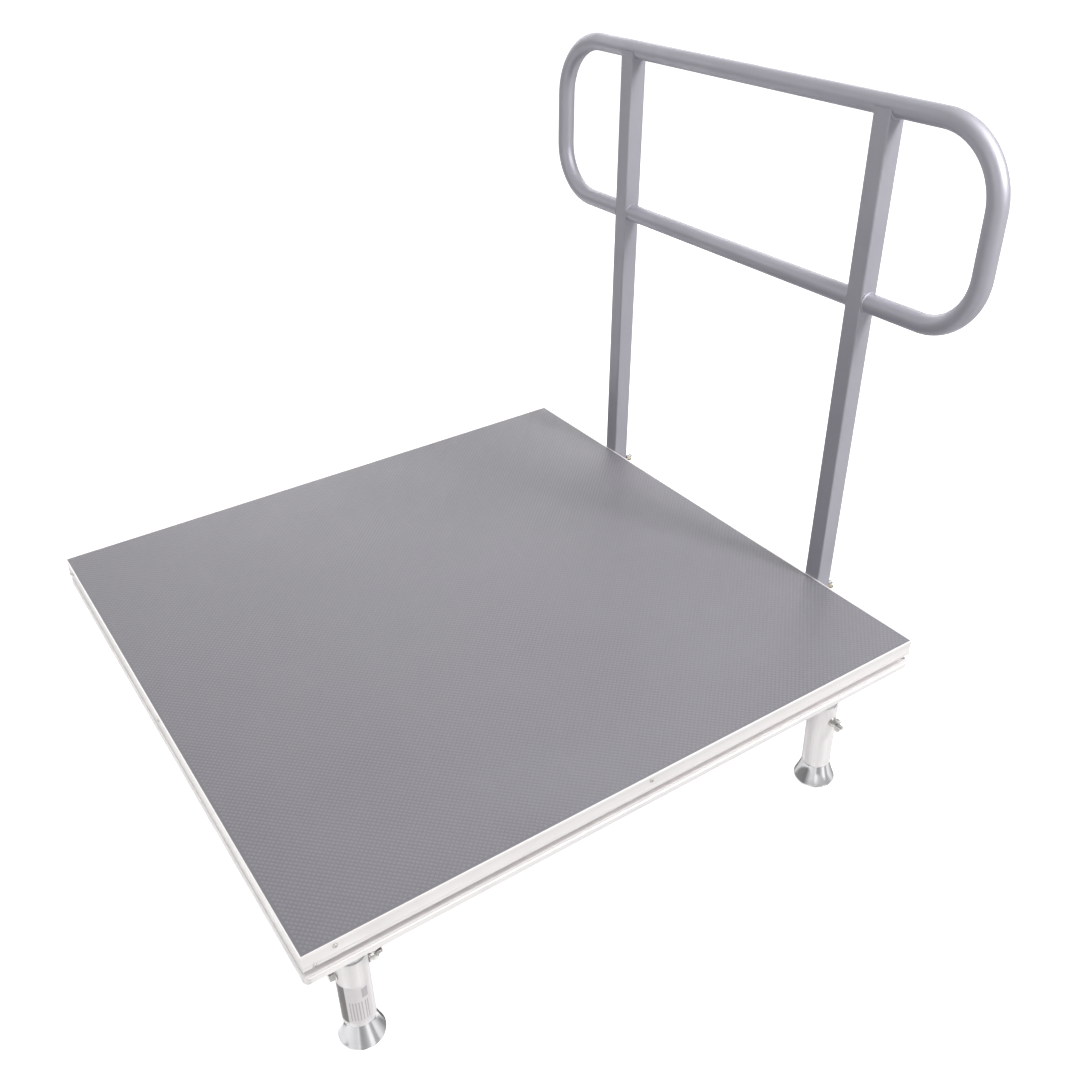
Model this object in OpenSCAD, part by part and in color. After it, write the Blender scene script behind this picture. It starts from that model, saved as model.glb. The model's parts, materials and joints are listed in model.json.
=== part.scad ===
// Stage riser platform: square deck in an aluminium frame, four pinned legs with
// levelling feet, and a tubular guardrail clamped in the groove of the rear edge.
// Millimetres. +Z is up, the guardrail is on the +Y edge, the floor is at z = 0.

/* [Deck] */
// Outer side of the square frame
deck_side = 1000; // [600:10:2000]
// Height of the walking surface above the floor, feet screwed right in
deck_height = 295; // [220:5:400]
// Thickness of the deck panel
panel_t = 12; // [9:1:21]
// Width of the bright frame lip around the panel
lip_w = 2.5; // [1.5:0.5:6]
// Depth of the side frame profile
rail_h = 50; // [40:1:80]
// Width of the side frame profile
rail_w = 30; // [25:1:45]
// Clear mouth of the accessory groove
groove_mouth = 9; // [8.5:0.5:12]
// Depth of the centre line of the accessory groove below the deck surface
groove_depth = 30; // [28:0.5:40]

/* [Legs] */
// Distance of each leg axis from the two nearest edges
leg_inset = 83; // [70:1:140]
// Outer diameter of the leg tube
leg_d = 46; // [40:1:60]
// Wall of the leg tube
leg_wall = 2; // [1.5:0.5:4]
// Depth of the upper end of the leg tube below the deck surface
leg_top = 135; // [70:1:160]
// Depth of the lower end of the leg tube below the deck surface
leg_end = 257; // [180:1:270]
// Depth of the lower end of the fixed spigot below the deck surface
spigot_end = 215; // [120:1:230]
// Depth of the clamp bolt below the deck surface
bolt_depth = 162.5; // [90:0.5:200]

/* [Feet] */
// Rim diameter of the bell shaped foot
bell_d = 65.2; // [55:0.2:90]
// Diameter of the bell where it meets the leg
bell_neck_d = 45; // [36:1:60]
// Diameter of the levelling spindle
spindle_d = 20; // [16:1:24]
// Thread pitch of the levelling spindle
spindle_pitch = 2.5; // [1.5:0.5:4]

/* [Guardrail] */
// Height of the top rail centre above the deck surface, along the post
top_rail_h = 736; // [500:1:1100]
// Height of the lower rail centre above the deck surface, along the post
low_rail_h = 469; // [250:1:700]
// Outer diameter of the rail tube
tube_d = 28.6; // [22:0.2:42]
// Wall of the rail tube
tube_wall = 1.6; // [1.2:0.2:3]
// Overall length of the hoop over its rounded ends
hoop_len = 965; // [700:5:1400]
// Centre line radius of the two upper bends
bend_top = 100; // [50:5:130]
// Centre line radius of the two lower bends
bend_low = 85; // [50:5:130]
// Side of the square post
post_w = 30; // [25:1:50]
// Wall of the square post
post_wall = 2; // [1.5:0.5:4]
// Distance between the post centres
post_pitch = 552; // [300:2:900]
// Distance of the guardrail centre from the middle of its edge
guard_shift = 11; // [-100:1:100]
// Outward lean of the guardrail in degrees
lean = 2.13; // [0:0.01:4]

/* [Clamp hardware] */
// Thread diameter of the clamp bolts
bolt_d = 8; // [6:1:10]
// Tip to tip span of the wing nuts
wing_span = 27; // [22:1:40]

/* [Hidden] */
$fn = 64;
clear = 0.05;                      // radial clearance of every sliding or turning fit
half = deck_side / 2;
lip_h = 2.5;                       // height of the outer lip, where the posts bear
panel_z = -panel_t;                // underside of the panel, measured from the surface
groove_hi = -groove_depth + groove_mouth / 2;
groove_lo = -groove_depth - groove_mouth / 2;
chamber_hi = groove_hi + 3.5;      // roof of the groove chamber
chamber_lo = groove_lo - 3.5;      // floor of the groove chamber
chamber_u = 11.5;                  // depth of the groove chamber from the outer face
lip_t = 3;                         // thickness of the two groove lips
wall = 2.5;                        // wall of the frame profile
flange_hi = chamber_lo - 1.8;      // top of the flush lower flange
leg_r = leg_d / 2;
bore_r = leg_r - leg_wall;
spigot_r = bore_r - clear;
spigot_wall = 4;
leg_xy = half - leg_inset;
bolt_r = bolt_d / 2;
slot_r = bolt_r + 0.2;             // half width of the spigot slot and bolt holes
washer_t = 1.5;
tube_r = tube_d / 2;
post_foot = -39;                   // lower end of a post, below the deck surface
plug_t = 2;                        // flange thickness of a post end plug
rail_y = post_w / 2;               // centre of the rail tubes from the post's front face
screw_head_h = 1.6;
screw_proud = screw_head_h - bearing(chamber_hi + 1.5);   // corner screws beyond the frame
// Reach of the guardrail beyond the rear edge, and the shift that centres the whole part
top_reach = (top_rail_h + lip_h) * sin(lean) + rail_y * cos(lean) + tube_r + clear;
deck_y = (screw_proud - top_reach) / 2;
silver = [0.80, 0.81, 0.83];
cast_grey = [0.72, 0.73, 0.75];
leg_silver = [0.86, 0.86, 0.87];
steel = [0.62, 0.62, 0.60];
zinc = [0.66, 0.64, 0.58];
mirror = [0.78, 0.79, 0.80];
rail_grey = [0.60, 0.60, 0.64];
board = [0.45, 0.45, 0.48];
black = [0.12, 0.12, 0.13];

// ---- placing -------------------------------------------------------------------------

// Deck frame: origin in the middle of the walking surface
module on_deck() translate([0, deck_y, deck_height]) children();

// One of the four sides, starting from the rear and going anticlockwise
module on_side(k) on_deck() rotate([0, 0, 90 * k]) children();

// Leg frame: on the leg axis, +X along the clamp bolt towards its wing nut
function leg_pos(k) = [[1, 1], [-1, 1], [-1, -1], [1, -1]][k] * leg_xy;
function bolt_turn(k) = [0, 90, 180, 90][k];
module on_leg(k)
  on_deck() translate([leg_pos(k).x, leg_pos(k).y, 0]) rotate([0, 0, bolt_turn(k)]) children();

// Guardrail frame: +Y out of the posts' front faces, +Z up along the leaning posts,
// z = 0 at the frame's outer lip
module on_guard()
  on_deck() translate([guard_shift, half + clear, -lip_h]) rotate([-lean, 0, 0]) children();
function along_post(depth) = (depth + lip_h) / cos(lean);
bolt_h = along_post(-groove_depth);

// Cylinder along +X from x0 to x1
module rod_x(r, x0, x1) translate([x0, 0, 0]) rotate([0, 90, 0]) cylinder(r = r, h = x1 - x0);

// ---- frame ---------------------------------------------------------------------------

// Inward offset of the face the leaning posts bear on, at height w below the surface
function bearing(w) = -(w + lip_h) * tan(lean);

// Section of the side profile: u inwards from the outer face, w up from the surface
function rail_outline() = [
  [0, 0], [0, -lip_h],
  [0.9, -lip_h - 0.9], [1.3, chamber_hi + 2.5],
  [bearing(chamber_hi + 1.5), chamber_hi + 1.5],
  [bearing(groove_hi), groove_hi], [bearing(groove_hi) + lip_t, groove_hi],
  [bearing(chamber_hi) + lip_t, chamber_hi], [chamber_u, chamber_hi],
  [chamber_u, chamber_lo], [bearing(chamber_lo) + lip_t, chamber_lo],
  [bearing(groove_lo) + lip_t, groove_lo], [bearing(groove_lo), groove_lo],
  [bearing(post_foot) + 0.2, post_foot - 0.2], [0, flange_hi],
  [0, -rail_h + 1.5], [1.5, -rail_h], [rail_w, -rail_h],
  [rail_w, panel_z], [lip_w, panel_z], [lip_w, 0]];

// Closed hollow of the profile, wrapped around the groove chamber
function rail_hollow() = [
  [4, panel_z - wall], [rail_w - wall, panel_z - wall], [rail_w - wall, -rail_h + wall],
  [3, -rail_h + wall], [3, chamber_lo - 2], [chamber_u + 2, chamber_lo - 2],
  [chamber_u + 2, chamber_hi + 2], [4, chamber_hi + 2]];

module rail_section() {
  difference() {
    polygon([for (p = rail_outline()) [half - p.x, p.y]]);
    polygon([for (p = rail_hollow()) [half - p.x, p.y]]);
  }
}

// Screw stations along a side, from its middle, and their depths
panel_screw_x = [0, 0.457 * deck_side];
panel_screw_z = -8.5;
corner_screw_x = half - 16;
corner_screw_z = -22.5;
screw_r = 1.9;

// Mitred frame side, lower flange rounded at the corners
corner_round = 12;
module rail() {
  mitre = half - rail_w - 5;
  difference() {
    intersection() {
      rotate([90, 0, 90]) translate([0, 0, -half]) linear_extrude(deck_side) rail_section();
      translate([0, 0, -rail_h - 1]) linear_extrude(rail_h + 2)
        polygon([[-half, half], [half, half], [mitre, mitre], [-mitre, mitre]]);
    }
    for (s = [-1, 1])
      translate([s * (half - corner_round), half - corner_round, -rail_h - 1])
        difference() {
          translate([s > 0 ? 0 : -corner_round - 1, 0, 0])
            cube([corner_round + 1, corner_round + 1, rail_h + 1 + chamber_lo]);
          cylinder(r = corner_round, h = rail_h + 1 + chamber_lo);
        }
    for (x = panel_screw_x) translate([x, half, panel_screw_z]) screw_hole();
    translate([corner_screw_x, half, corner_screw_z]) screw_hole();
  }
}

module screw_hole() rotate([90, 0, 0]) cylinder(r = screw_r, h = 5);

module rail_rear() color(silver) on_side(0) rail();
module rail_left() color(silver) on_side(1) rail();
module rail_front() color(silver) on_side(2) rail();
module rail_right() color(silver) on_side(3) rail();

panel_screw_len = 22;
module deck_panel() {
  side = deck_side - 2 * lip_w;
  color(board) on_deck() difference() {
    translate([-side / 2, -side / 2, panel_z]) cube([side, side, panel_t]);
    for (k = [0:3], x = panel_screw_x)
      rotate([0, 0, 90 * k]) translate([x, half - 1, panel_screw_z])
        rotate([90, 0, 0]) cylinder(r = screw_r, h = panel_screw_len - 1);
  }
}

// Rectangular tube under the middle of the panel, between the left and right sides
brace_h = 25;
brace_w = 40;
module cross_brace() {
  len = deck_side - 2 * rail_w;
  color(silver) on_deck() translate([0, 0, panel_z - brace_h / 2]) difference() {
    cube([len, brace_w, brace_h], center = true);
    cube([len + 2, brace_w - 4, brace_h - 4], center = true);
  }
}

// Pan head screw, head on the outer face u inwards from the frame plane, pointing -Y
module pan_screw(u, len, head_r) {
  translate([0, half - u, 0]) rotate([90, 0, 0]) {
    cylinder(r = screw_r, h = len - u);
    difference() {
      translate([0, 0, -screw_head_h])
        cylinder(r1 = head_r - 0.8, r2 = head_r, h = screw_head_h);
      for (a = [0, 90])
        translate([0, 0, -screw_head_h]) rotate([0, 0, a])
          cube([3.6, 0.8, 1.8], center = true);
    }
  }
}

module panel_screws()
  color(steel) for (k = [0:3], x = panel_screw_x)
    on_side(k) translate([x, 0, panel_screw_z]) pan_screw(0.94, panel_screw_len, 3.2);

module corner_screws()
  color(steel) for (k = [0:3])
    on_side(k) translate([corner_screw_x, 0, corner_screw_z])
      pan_screw(bearing(chamber_hi + 1.5), lip_t + 0.5, 2.9);

// ---- corners -------------------------------------------------------------------------

// Cast corner: top plate, two flanges against the sides, ribs and the spigot's boss
block_side = 95;
plate_t = 8;
flange_t = 6;
boss_r = 29;
module corner_block() {
  inner = half - rail_w;
  drop = rail_h + panel_z;
  translate([0, 0, -rail_h]) difference() {
    union() {
      translate([inner - block_side, inner - block_side, drop - plate_t])
        cube([block_side, block_side, plate_t]);
      translate([inner - flange_t, inner - block_side, 2])
        cube([flange_t, block_side, drop - 2]);
      translate([inner - block_side, inner - flange_t, 2])
        cube([block_side, flange_t, drop - 2]);
      for (a = [0, 90])
        translate([leg_xy, leg_xy, 2]) rotate([0, 0, a])
          translate([0, -flange_t / 2, 0]) cube([inner - leg_xy, flange_t, drop - 2]);
      translate([leg_xy, leg_xy, 0]) cylinder(r = boss_r, h = drop);
    }
    translate([leg_xy, leg_xy, -1]) cylinder(r = spigot_r, h = drop + 2);
    // cored corner away from the edges, to save weight
    translate([inner - block_side, inner - block_side, drop - plate_t - 1])
      rotate([0, 0, 45]) cube([60, 60, 2 * plate_t + 4], center = true);
  }
}

module corner_block_rear_right() color(cast_grey) on_side(0) corner_block();
module corner_block_rear_left() color(cast_grey) on_side(1) corner_block();
module corner_block_front_left() color(cast_grey) on_side(2) corner_block();
module corner_block_front_right() color(cast_grey) on_side(3) corner_block();

// Tubular spigot, slotted from below so that the leg and its bolt slide off downwards
module spigot() {
  difference() {
    translate([0, 0, -spigot_end]) cylinder(r = spigot_r, h = spigot_end + panel_z);
    translate([0, 0, -spigot_end - 1])
      cylinder(r = spigot_r - spigot_wall, h = spigot_end + 2);
    translate([0, 0, -bolt_depth]) rod_x(slot_r, -leg_r, leg_r);
    translate([-leg_r, -slot_r, -spigot_end - 1])
      cube([leg_d, 2 * slot_r, spigot_end + 1 - bolt_depth]);
  }
}

module spigot_rear_right() color(cast_grey) on_leg(0) spigot();
module spigot_rear_left() color(cast_grey) on_leg(1) spigot();
module spigot_front_left() color(cast_grey) on_leg(2) spigot();
module spigot_front_right() color(cast_grey) on_leg(3) spigot();

// ---- legs ----------------------------------------------------------------------------

mouth = 1.2;                       // chamfer inside the mouth of the leg tube
module leg_tube() {
  difference() {
    translate([0, 0, -leg_end]) cylinder(r = leg_r, h = leg_end - leg_top);
    translate([0, 0, -leg_end - 1]) cylinder(r = bore_r, h = leg_end);
    translate([0, 0, -leg_top - mouth])
      cylinder(r1 = bore_r, r2 = bore_r + mouth, h = mouth);
    translate([0, 0, -bolt_depth]) rod_x(slot_r, -leg_r - 1, leg_r + 1);
  }
}

module leg_tube_rear_right() color(leg_silver) on_leg(0) leg_tube();
module leg_tube_rear_left() color(leg_silver) on_leg(1) leg_tube();
module leg_tube_front_left() color(leg_silver) on_leg(2) leg_tube();
module leg_tube_front_right() color(leg_silver) on_leg(3) leg_tube();

// Threaded plug pressed into the lower end of the leg; the spigot stands on it
module foot_insert() {
  translate([0, 0, -leg_end]) difference() {
    cylinder(r = bore_r, h = leg_end - spigot_end);
    translate([0, 0, -1])
      cylinder(r = spindle_d / 2 + clear, h = leg_end - spigot_end + 2);
  }
}

module foot_insert_rear_right() color(black) on_leg(0) foot_insert();
module foot_insert_rear_left() color(black) on_leg(1) foot_insert();
module foot_insert_front_left() color(black) on_leg(2) foot_insert();
module foot_insert_front_right() color(black) on_leg(3) foot_insert();

// Flanged hex bolt right through the leg, and the washer under its wing nut
bolt_tail = 21;                    // length of bolt beyond the leg's surface
head_flange = 2;
head_h = 7;
module clamp_bolt() {
  translate([0, 0, -bolt_depth]) {
    rod_x(bolt_r, -leg_r, leg_r + bolt_tail - 1);
    translate([leg_r + bolt_tail - 1, 0, 0]) rotate([0, 90, 0])
      cylinder(r1 = bolt_r, r2 = bolt_r - 1, h = 1);
    rod_x(bolt_r + 4, -leg_r - head_flange, -leg_r);
    translate([-leg_r - head_flange - head_h, 0, 0]) rotate([0, 90, 0])
      cylinder(d = 1.155 * 1.6 * bolt_d, h = head_h, $fn = 6);
  }
}

module clamp_bolt_rear_right() color(zinc) on_leg(0) clamp_bolt();
module clamp_bolt_rear_left() color(zinc) on_leg(1) clamp_bolt();
module clamp_bolt_front_left() color(zinc) on_leg(2) clamp_bolt();
module clamp_bolt_front_right() color(zinc) on_leg(3) clamp_bolt();

// Flat washer, seat at x = 0, thickness towards +X
module washer() {
  difference() {
    rod_x(2 * bolt_r, 0, washer_t);
    rod_x(bolt_r + clear, -1, washer_t + 1);
  }
}

module clamp_washer() translate([leg_r, 0, -bolt_depth]) washer();
module clamp_washer_rear_right() color(zinc) on_leg(0) clamp_washer();
module clamp_washer_rear_left() color(zinc) on_leg(1) clamp_washer();
module clamp_washer_front_left() color(zinc) on_leg(2) clamp_washer();
module clamp_washer_front_right() color(zinc) on_leg(3) clamp_washer();

// Wing nut on the X axis, seat at x = 0, wings in the XZ plane
hub_h = 8;
wing_t = 3;
wing_tip_r = 4.8;
module wing_outline() {
  tip = wing_span / 2 - wing_tip_r;
  translate([10.4, tip]) circle(r = wing_tip_r);
  polygon([[0.8, 3], [1.6, 6.6], [7.4, tip + 3.75], [14.2, tip - 2.9], [hub_h, 3]]);
}

module wing_nut() {
  difference() {
    union() {
      rod_x(7, 0, 2.5);
      translate([2.5, 0, 0]) rotate([0, 90, 0]) cylinder(r1 = 7, r2 = 5.6, h = hub_h - 2.5);
      for (s = [0, 180]) rotate([s, 0, 0]) rotate([90, 0, 0])
        translate([0, 0, -wing_t / 2]) linear_extrude(wing_t) wing_outline();
    }
    rod_x(bolt_r + clear, -1, 20);
  }
}

module leg_wing_nut() translate([leg_r + washer_t, 0, -bolt_depth]) wing_nut();
module wing_nut_rear_right() color(zinc) on_leg(0) leg_wing_nut();
module wing_nut_rear_left() color(zinc) on_leg(1) leg_wing_nut();
module wing_nut_front_left() color(zinc) on_leg(2) leg_wing_nut();
module wing_nut_front_right() color(zinc) on_leg(3) leg_wing_nut();

// ---- feet ----------------------------------------------------------------------------

// Heights in this section are above the floor, feet screwed right in
bell_top = deck_height - leg_end;
bell_foot = 1.5;
rim_top = 4;
bell_wall = 2.2;
hub_r = 14;
hub_foot = 6;
flare_steps = 10;
function flare(t) = bell_neck_d / 2 + (bell_d - bell_neck_d) / 2 * pow(t, 1.35);
module on_foot(k) on_leg(k) translate([0, 0, -deck_height]) children();

// Chromed bell, hollow around a hub that is fixed to the spindle
module foot_bell() {
  rise = bell_top - rim_top;
  outer = [for (i = [0:flare_steps])
    [flare(i / flare_steps), bell_top - rise * i / flare_steps]];
  inner = [for (i = [flare_steps:-1:2])
    [flare(i / flare_steps) - bell_wall, bell_top - rise * i / flare_steps]];
  rotate_extrude() polygon(concat(
    [[spindle_d / 2, bell_top]], outer,
    [[bell_d / 2 - 0.8, bell_foot], [bell_d / 2 - bell_wall, bell_foot]], inner,
    [[hub_r, bell_top - rise * 0.2], [hub_r, hub_foot], [spindle_d / 2, hub_foot]]));
}

module foot_bell_rear_right() color(mirror) on_foot(0) foot_bell();
module foot_bell_rear_left() color(mirror) on_foot(1) foot_bell();
module foot_bell_front_left() color(mirror) on_foot(2) foot_bell();
module foot_bell_front_right() color(mirror) on_foot(3) foot_bell();

// Threaded spindle, thread shown as rings, blind hole below for the pad's pivot
spindle_top = deck_height - spigot_end + 26;
pivot_r = 5;
pivot_top = 16;
thread_depth = 0.8;
module foot_spindle() {
  r = spindle_d / 2;
  turns = floor((spindle_top - bell_top - 2) / spindle_pitch);
  z0 = bell_top + 0.5;
  thread = [for (i = [0:turns - 1]) each
    [[r, z0 + spindle_pitch * i], [r, z0 + spindle_pitch * (i + 0.3)],
     [r - thread_depth, z0 + spindle_pitch * (i + 0.55)],
     [r - thread_depth, z0 + spindle_pitch * (i + 0.75)]]];
  rotate_extrude() polygon(concat(
    [[pivot_r + clear, hub_foot], [r, hub_foot]], thread,
    [[r - 1, spindle_top], [0, spindle_top], [0, pivot_top + 0.5],
     [pivot_r + clear, pivot_top + 0.5]]));
}

module foot_spindle_rear_right() color(zinc) on_foot(0) foot_spindle();
module foot_spindle_rear_left() color(zinc) on_foot(1) foot_spindle();
module foot_spindle_front_left() color(zinc) on_foot(2) foot_spindle();
module foot_spindle_front_right() color(zinc) on_foot(3) foot_spindle();

// Rubber pad that stands still on the floor while the bell turns on it
pad_r = 28;
module foot_pad() {
  cylinder(r = pad_r, h = 4);
  translate([0, 0, 4]) cylinder(r = hub_r, h = hub_foot - 4);
  translate([0, 0, hub_foot]) cylinder(r = pivot_r, h = pivot_top - hub_foot);
}

module foot_pad_rear_right() color(black) on_foot(0) foot_pad();
module foot_pad_rear_left() color(black) on_foot(1) foot_pad();
module foot_pad_front_left() color(black) on_foot(2) foot_pad();
module foot_pad_front_right() color(black) on_foot(3) foot_pad();

// ---- guardrail -----------------------------------------------------------------------

top_h = top_rail_h + lip_h;
low_h = low_rail_h + lip_h;
hoop_x = hoop_len / 2 - tube_r;
post_x = post_pitch / 2;

module tube_ring() difference() {
  circle(r = tube_r);
  circle(r = tube_r - tube_wall);
}

// Straight tube in the XZ plane, from point a to point b
module tube_run(a, b) {
  d = b - a;
  translate([a.x, 0, a.y]) rotate([0, atan2(d.x, d.y), 0])
    linear_extrude(norm(d)) tube_ring();
}

// Quarter bend in the XZ plane around point c, starting at angle from
module tube_bend(c, r, from)
  translate([c.x, 0, c.y]) rotate([90, 0, 0]) rotate([0, 0, from])
    rotate_extrude(angle = 90) translate([r, 0]) tube_ring();

// Hoop: one bent tube from the outer side of one post, over the top, to the other
module guard_hoop() {
  color(rail_grey) on_guard() translate([0, rail_y, 0]) {
    tube_run([-hoop_x + bend_top, top_h], [hoop_x - bend_top, top_h]);
    for (s = [-1, 1]) {
      tube_run([s * hoop_x, low_h + bend_low], [s * hoop_x, top_h - bend_top]);
      tube_run([s * (post_x + post_w / 2), low_h], [s * (hoop_x - bend_low), low_h]);
      tube_bend([s * (hoop_x - bend_top), top_h - bend_top], bend_top, s > 0 ? 0 : 90);
      tube_bend([s * (hoop_x - bend_low), low_h + bend_low], bend_low, s > 0 ? -90 : 180);
    }
  }
}

module guard_mid_rail() {
  color(rail_grey) on_guard() translate([0, rail_y, 0])
    tube_run([-post_x + post_w / 2, low_h], [post_x - post_w / 2, low_h]);
}

// Square post, saddle cut under the top rail, drilled for its T-bolt
module guard_post() {
  foot = along_post(post_foot + plug_t);
  cope = top_h - 3;
  difference() {
    translate([-post_w / 2, 0, foot]) cube([post_w, post_w, cope - foot]);
    translate([-post_w / 2 + post_wall, post_wall, foot - 1])
      cube([post_w - 2 * post_wall, post_w - 2 * post_wall, cope - foot + 2]);
    translate([0, rail_y, top_h]) rod_x(tube_r, -post_w, post_w);
    translate([0, -1, bolt_h]) rotate([-90, 0, 0]) cylinder(r = slot_r, h = post_w + 2);
  }
}

module guard_post_left() color(rail_grey) on_guard() translate([-post_x, 0, 0]) guard_post();
module guard_post_right() color(rail_grey) on_guard() translate([post_x, 0, 0]) guard_post();

module post_plugs() {
  bore = post_w - 2 * post_wall;
  color(black) on_guard() for (s = [-1, 1])
    translate([s * post_x, post_w / 2, along_post(post_foot)]) {
      translate([-post_w / 2, -post_w / 2, 0]) cube([post_w, post_w, plug_t]);
      translate([-bore / 2, -bore / 2, plug_t]) cube([bore, bore, 2.2]);
    }
}

// T-bolts: hammer head inside the groove chamber, shank out through the post
t_head = [12, 4.3, 14.5];
t_tail = 23;
module t_bolts() {
  color(zinc) on_guard() for (s = [-1, 1])
    translate([s * post_x, 0, bolt_h]) {
      translate([-t_head.x / 2, -lip_t - clear - t_head.y, -t_head.z / 2]) cube(t_head);
      translate([0, -lip_t - clear, 0]) rotate([-90, 0, 0])
        cylinder(r = bolt_r, h = lip_t + clear + post_w + t_tail - 1);
      translate([0, post_w + t_tail - 1, 0]) rotate([-90, 0, 0])
        cylinder(r1 = bolt_r, r2 = bolt_r - 1, h = 1);
    }
}

// Nut frame of a post: seat on the post's outer face, +X outwards, wings level
module on_guard_bolt(s)
  on_guard() translate([s * post_x, post_w, bolt_h]) rotate([0, 0, 90]) rotate([90, 0, 0])
    children();

module guard_washer_left() color(zinc) on_guard_bolt(-1) washer();
module guard_washer_right() color(zinc) on_guard_bolt(1) washer();
module guard_nut_left() color(zinc) on_guard_bolt(-1) translate([washer_t, 0, 0]) wing_nut();
module guard_nut_right() color(zinc) on_guard_bolt(1) translate([washer_t, 0, 0]) wing_nut();

rail_rear();
rail_left();
rail_front();
rail_right();
deck_panel();
cross_brace();
corner_block_rear_right();
corner_block_rear_left();
corner_block_front_left();
corner_block_front_right();
spigot_rear_right();
spigot_rear_left();
spigot_front_left();
spigot_front_right();
panel_screws();
corner_screws();
leg_tube_rear_right();
leg_tube_rear_left();
leg_tube_front_left();
leg_tube_front_right();
foot_insert_rear_right();
foot_insert_rear_left();
foot_insert_front_left();
foot_insert_front_right();
clamp_bolt_rear_right();
clamp_bolt_rear_left();
clamp_bolt_front_left();
clamp_bolt_front_right();
clamp_washer_rear_right();
clamp_washer_rear_left();
clamp_washer_front_left();
clamp_washer_front_right();
wing_nut_rear_right();
wing_nut_rear_left();
wing_nut_front_left();
wing_nut_front_right();
foot_bell_rear_right();
foot_bell_rear_left();
foot_bell_front_left();
foot_bell_front_right();
foot_spindle_rear_right();
foot_spindle_rear_left();
foot_spindle_front_left();
foot_spindle_front_right();
foot_pad_rear_right();
foot_pad_rear_left();
foot_pad_front_left();
foot_pad_front_right();
guard_hoop();
guard_mid_rail();
guard_post_left();
guard_post_right();
post_plugs();
t_bolts();
guard_washer_left();
guard_washer_right();
guard_nut_left();
guard_nut_right();
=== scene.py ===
"""Looks of the stage riser platform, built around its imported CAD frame.

Shapes are drawn in millimetres in a local frame, set in place by a matrix that is worked
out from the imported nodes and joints, and ride on the CAD bodies.
"""

import json
import math
import random

import bmesh
import bpy
from mathutils import Matrix, Vector
from mathutils.geometry import tessellate_polygon


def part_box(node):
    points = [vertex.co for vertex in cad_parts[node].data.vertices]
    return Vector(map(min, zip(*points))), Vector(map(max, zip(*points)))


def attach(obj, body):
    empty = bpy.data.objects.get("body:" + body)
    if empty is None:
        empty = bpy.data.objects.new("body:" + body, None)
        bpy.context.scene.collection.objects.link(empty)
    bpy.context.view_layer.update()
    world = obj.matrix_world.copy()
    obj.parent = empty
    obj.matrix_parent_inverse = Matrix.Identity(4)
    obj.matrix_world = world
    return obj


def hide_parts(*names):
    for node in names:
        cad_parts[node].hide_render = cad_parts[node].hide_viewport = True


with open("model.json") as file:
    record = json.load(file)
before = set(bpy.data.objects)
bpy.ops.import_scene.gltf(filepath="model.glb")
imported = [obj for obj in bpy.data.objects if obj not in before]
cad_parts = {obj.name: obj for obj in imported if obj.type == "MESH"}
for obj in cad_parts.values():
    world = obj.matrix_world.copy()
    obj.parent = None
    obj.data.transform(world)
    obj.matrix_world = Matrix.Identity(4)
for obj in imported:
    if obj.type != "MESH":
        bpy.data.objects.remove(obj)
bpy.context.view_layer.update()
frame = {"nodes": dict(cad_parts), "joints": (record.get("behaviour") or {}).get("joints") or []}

# ---- places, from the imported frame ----

MM = 0.001
JOINTS = {joint["name"]: joint for joint in frame["joints"]}
SIDES = ("rear", "left", "front", "right")
CORNERS = ("rear_right", "rear_left", "front_left", "front_right")
HANDS = ("left", "right")


def span(node):
    """Size of a CAD node's box, in mm."""
    low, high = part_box(node)
    return (high - low) / MM


def middle(node):
    """Middle of a CAD node's box, in metres."""
    low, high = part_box(node)
    return (low + high) / 2


def frame_at(origin, x_axis, z_axis):
    """Local frame with the given origin in metres and the given X and Z directions."""
    x = Vector(x_axis).normalized()
    z = Vector(z_axis).normalized()
    turn = Matrix((x, z.cross(x), z)).transposed()
    return Matrix.Translation(origin) @ turn.to_4x4()


def deck_frame():
    """Origin in the middle of the walking surface."""
    spot = middle("deck_panel")
    return Matrix.Translation((spot.x, spot.y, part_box("deck_panel")[1].z))


def side_frame(k):
    """Frame of one side of the deck: X along it, Y outwards."""
    return deck_frame() @ Matrix.Rotation(math.radians(90 * k), 4, "Z")


def leg_frame(corner):
    """Origin on the floor under the leg, X along its clamp bolt towards the wing nut."""
    spot = middle(f"leg_tube_{corner}")
    bolt = JOINTS[f"wing_nut_{corner}_turn"]["axis"]
    return frame_at((spot.x, spot.y, 0), bolt, (0, 0, 1))


def guard_frame():
    """Origin between the posts' bolts, on the posts' inner faces: Y off the deck, Z up them."""
    out = Vector(JOINTS["guard_nut_left_turn"]["axis"])
    seats = [Vector(JOINTS[f"guard_nut_{hand}_turn"]["pos_m"]) for hand in HANDS]
    along = Vector((1, 0, 0)).cross(out)
    return frame_at((seats[0] + seats[1]) / 2 - out * POST * MM, (1, 0, 0), along)


HALF = span("rail_rear").x / 2          # half the side of the deck frame
RAIL_H = span("rail_rear").z            # depth of the side profile
RAIL_W = span("rail_rear").y            # width of the side profile
PANEL = span("deck_panel")
LIP = HALF - PANEL.x / 2                # width of the frame lip round the panel
POST = 30                               # side of a square post
POST_WALL = 2
POST_BELOW_BOLT = 9                     # post end below the clamp bolt
BEND_TOP = 100                          # centre line radius of the hoop's upper bends
BEND_LOW = 85                           # centre line radius of the hoop's lower bends
TUBE_WALL = 1.6
DECK = deck_frame()
GUARD = guard_frame()
TUBE_R = span("guard_mid_rail").z / 2
POST_X = (JOINTS["guard_nut_right_turn"]["pos_m"][0] - JOINTS["guard_nut_left_turn"]["pos_m"][0]) / MM / 2
LOW_RAIL = (GUARD.inverted() @ middle("guard_mid_rail")) / MM
LEAN = math.atan2(-JOINTS["guard_nut_left_turn"]["axis"][2], JOINTS["guard_nut_left_turn"]["axis"][1])
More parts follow.
